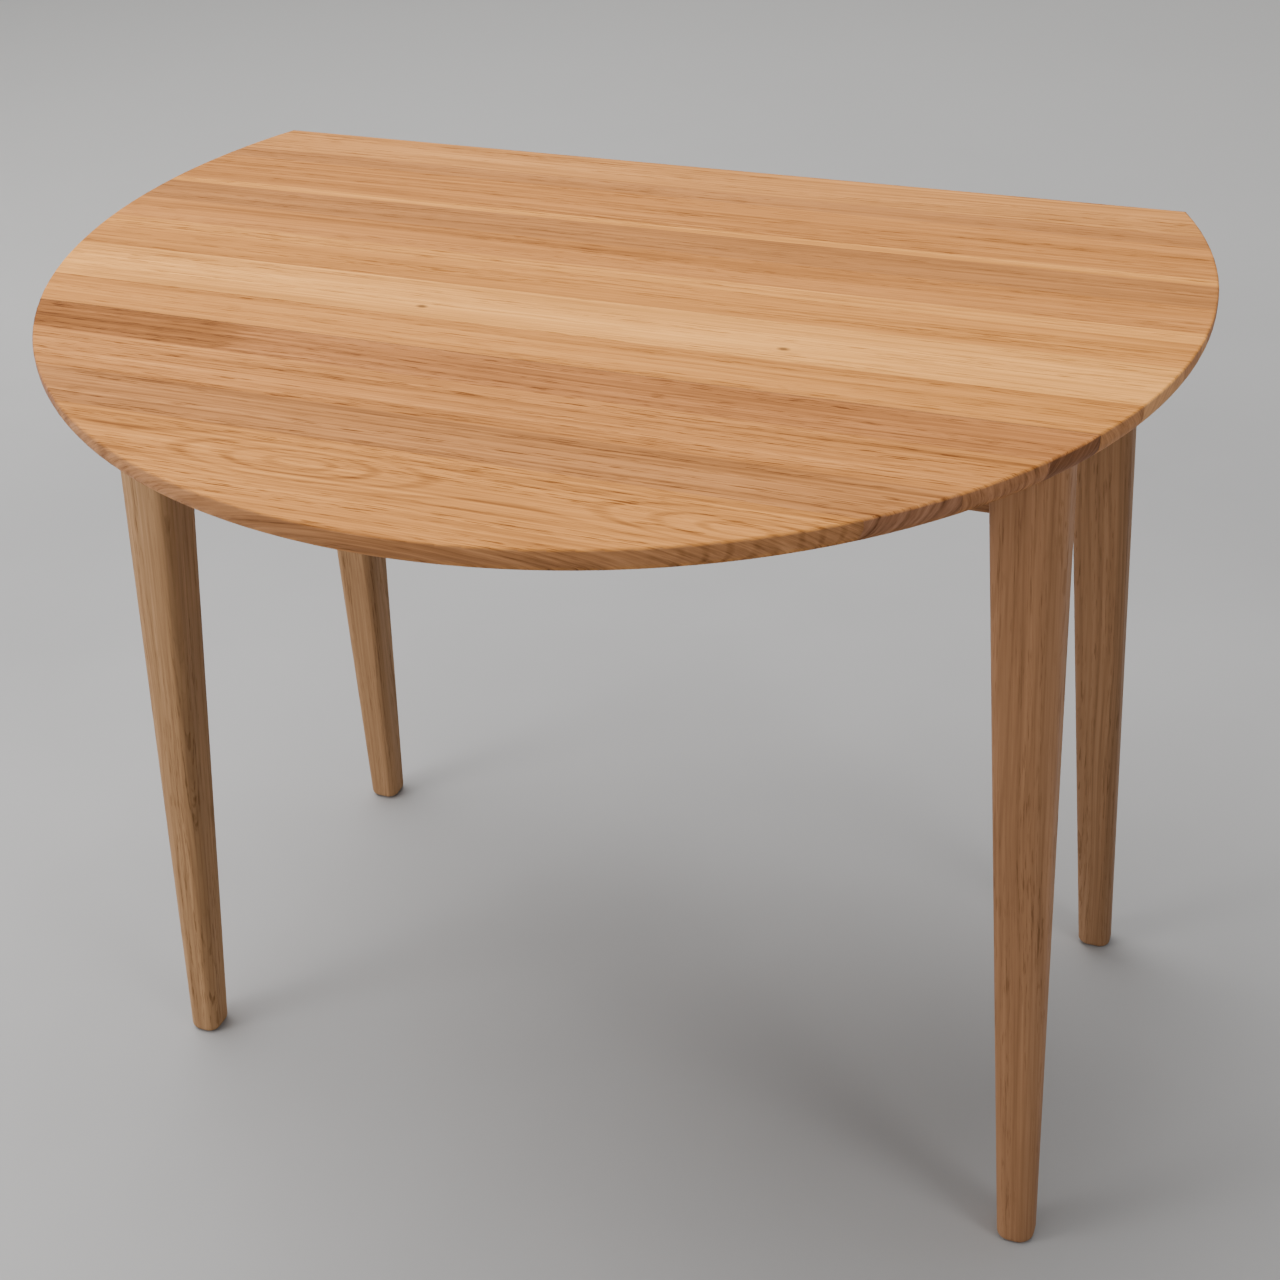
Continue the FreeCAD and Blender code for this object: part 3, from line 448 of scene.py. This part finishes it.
def stick_oak(name, tone, seed, lengthwise, middle=(0.0, 0.0), lean=(0.0, 0.0)):
    """A single stick of oak whose grain runs along X, Y or Z.

    middle and lean place the stick's own line on the two axes across its grain.
    """
    g = Graph(name)
    place = g.axes(g.coordinates("Object"))
    normal = g.axes(g.coordinates("Normal"))
    length, first, second = {"X": (0, 1, 2), "Y": (1, 0, 2), "Z": (2, 0, 1)}[lengthwise]
    along = place[length]
    across = g.math("MULTIPLY_ADD", along, -lean[0], g.math("SUBTRACT", place[first], middle[0]))
    deep = g.math("MULTIPLY_ADD", along, -lean[1], g.math("SUBTRACT", place[second], middle[1]))
    fields = grain(g, along, across, deep, seed)
    end_share = g.span(g.math("ABSOLUTE", normal[length]), *END_FACING)
    lines = ring_lines(g, across, deep, fields)
    return oak_surface(g, opaque(tone), fields, end_share, END_TINT, lines, STICK_CONTRAST)


# Steel: mottling, scratches along X and stains

MOTTLE_NOISE = ((90.0, 90.0, 90.0), 4.0, 0.6)
MOTTLE_TINTS = [(0.3, grey(0.86)), (0.7, grey(1.05))]
SCRATCH_NOISE = ((60.0, 2400.0, 900.0), 2.0, 0.5)
SCRATCH_ROUGHNESS = 0.22
SCRATCH_DEPTH = 0.00004
SCRATCH_STRENGTH = 0.4
STAIN_NOISE = ((22.0, 22.0, 22.0), 5.0, 0.65)
STAIN_RANGE = (0.55, 0.75)
STAIN_COLOUR = (0.30, 0.28, 0.24, 1.0)
STAIN_STRENGTH = 0.35
STAIN_ROUGHNESS = 0.15


def steel(name, colour, roughness):
    """Zinc plated steel with faint mottling, handling wear and fine scratches."""
    g = Graph(name)
    place = g.coordinates("Object")
    scratch = g.noise(place, *SCRATCH_NOISE)
    stain = g.span(g.noise(place, *STAIN_NOISE), *STAIN_RANGE)
    base = g.tint(opaque(colour), g.ramp(g.noise(place, *MOTTLE_NOISE), MOTTLE_TINTS))
    base = g.mix(g.math("MULTIPLY", stain, STAIN_STRENGTH), base, STAIN_COLOUR)
    rough = g.math("MULTIPLY_ADD", scratch, SCRATCH_ROUGHNESS, roughness)
    rough = g.math("MULTIPLY_ADD", stain, STAIN_ROUGHNESS, rough)
    normal = g.bump(scratch, SCRATCH_DEPTH, SCRATCH_STRENGTH)
    return g.surface(Base_Color=base, Metallic=1.0, Roughness=rough, Normal=normal)


# Floor: clouded near the table, and turning paler between two distances from it

FLOOR_SIZE = 24.0
FLOOR_CLOUD_NOISE = ((1.3, 1.3, 1.3), 5.0, 0.55)
FLOOR_CLOUD_COLOURS = [(0.3, (0.36, 0.357, 0.358, 1.0)), (0.7, (0.41, 0.407, 0.408, 1.0))]
FLOOR_FAR_COLOUR = (0.80, 0.79, 0.77, 1.0)
FLOOR_DISTANCES = (1.3, 4.0)
FLOOR_ROUGHNESS = 0.75


def floor_paint(name):
    """A plain pale floor with barely visible clouding, paler away from the table."""
    g = Graph(name)
    place = g.coordinates("Object")
    near = g.ramp(g.noise(place, *FLOOR_CLOUD_NOISE), FLOOR_CLOUD_COLOURS)
    distance = g.add("ShaderNodeVectorMath", {0: place}, operation="LENGTH").outputs["Value"]
    colour = g.mix(g.span(distance, *FLOOR_DISTANCES), near, FLOOR_FAR_COLOUR)
    return g.surface(Base_Color=colour, Roughness=FLOOR_ROUGHNESS)


def give(material, *nodes):
    for node in nodes:
        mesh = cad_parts[node].data
        mesh.materials.clear()
        mesh.materials.append(material)


def leg_oak(corner, tone, seed):
    """Leg oak whose grain follows the leg's lean from the foot to the head."""
    low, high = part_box(corner + "_leg")
    x_sign = 1 if "right" in corner else -1
    y_sign = 1 if "rear" in corner else -1
    reach = LEG_SLOPE * (high[2] - low[2]) / 2
    middle = (low[0] + high[0]) / 2 + x_sign * reach, (low[1] + high[1]) / 2 + y_sign * reach
    lean = -x_sign * LEG_SLOPE, -y_sign * LEG_SLOPE
    return stick_oak(corner + "_leg_oak", tone, seed, "Z", middle, lean)


def dress_table():
    give(top_oak("panel_oak", PANEL_BOARDS, knots=KNOTS), "centre_panel")
    give(top_oak("front_leaf_oak", FRONT_BOARDS, figured=True), "front_leaf")
    give(top_oak("rear_leaf_oak", REAR_BOARDS, hanging=True), "rear_leaf")
    for corner, (tone, seed) in LEGS.items():
        give(leg_oak(corner, tone, seed), corner + "_leg")
    for side, (lengthwise, seed) in RAILS.items():
        give(stick_oak(side + "_rail_oak", LEG_MEDIUM, seed, lengthwise), side + "_rail")
    blocks = [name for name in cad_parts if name.endswith("_corner_block")]
    give(stick_oak("block_oak", LEG_PALE, BLOCK_SEED, "X"), "top_buttons", *blocks)


def dress_hardware():
    plated = steel("zinc_plate", colour=(0.66, 0.66, 0.64), roughness=0.30)
    bright = steel("bright_steel", colour=(0.74, 0.73, 0.71), roughness=0.20)
    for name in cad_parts:
        if "screws" in name or name.endswith(("_pin", "_rivet", "_stud")):
            give(bright, name)
        elif "_hinge_" in name or "_stay_" in name or "bolt" in name:
            give(plated, name)


# Room light from all round

WORLD_COLOUR = (0.96, 0.98, 1.0, 1.0)
WORLD_STRENGTH = 0.28


def stage():
    bpy.ops.mesh.primitive_plane_add(size=FLOOR_SIZE)
    floor = bpy.context.object
    floor.name = "floor"
    floor.data.materials.append(floor_paint("pale_floor"))
    world = bpy.data.worlds.new("studio")
    bpy.context.scene.world = world
    world.use_nodes = True
    backdrop = world.node_tree.nodes["Background"]
    backdrop.inputs["Color"].default_value = WORLD_COLOUR
    backdrop.inputs["Strength"].default_value = WORLD_STRENGTH


def soft_light(name, place, aim_height, size, power, colour):
    """A round soft light aimed at the table's middle at a height."""
    data = bpy.data.lights.new(name, "AREA")
    data.shape = "DISK"
    data.size = size
    data.energy = power
    data.color = colour
    light = bpy.data.objects.new(name, data)
    light.location = place
    ray = Vector((0.0, 0.0, aim_height)) - Vector(place)
    light.rotation_euler = ray.to_track_quat("-Z", "Y").to_euler()
    bpy.context.collection.objects.link(light)


def lights():
    soft_light("ceiling", place=(-0.9, 0.2, 3.2), aim_height=TOP_Z, size=3.8, power=179.0,
               colour=(1.0, 0.99, 0.98))
    soft_light("window", place=(-2.3, -1.9, 1.15), aim_height=TOP_Z / 2, size=1.3, power=42.0,
               colour=(1.0, 0.99, 0.97))
    soft_light("room", place=(2.4, -1.0, 2.5), aim_height=TOP_Z / 2, size=1.0, power=21.0,
               colour=(1.0, 0.99, 0.97))


def camera():
    data = bpy.data.cameras.new("camera")
    data.lens = FOCAL_LENGTH
    data.sensor_width = SENSOR
    view = bpy.data.objects.new("camera", data)
    view.location = CAMERA_PLACE
    view.rotation_euler = Euler([math.radians(angle) for angle in CAMERA_TURN], "XYZ")
    bpy.context.collection.objects.link(view)
    bpy.context.scene.camera = view


dress_table()
dress_hardware()
stage()
lights()
camera()
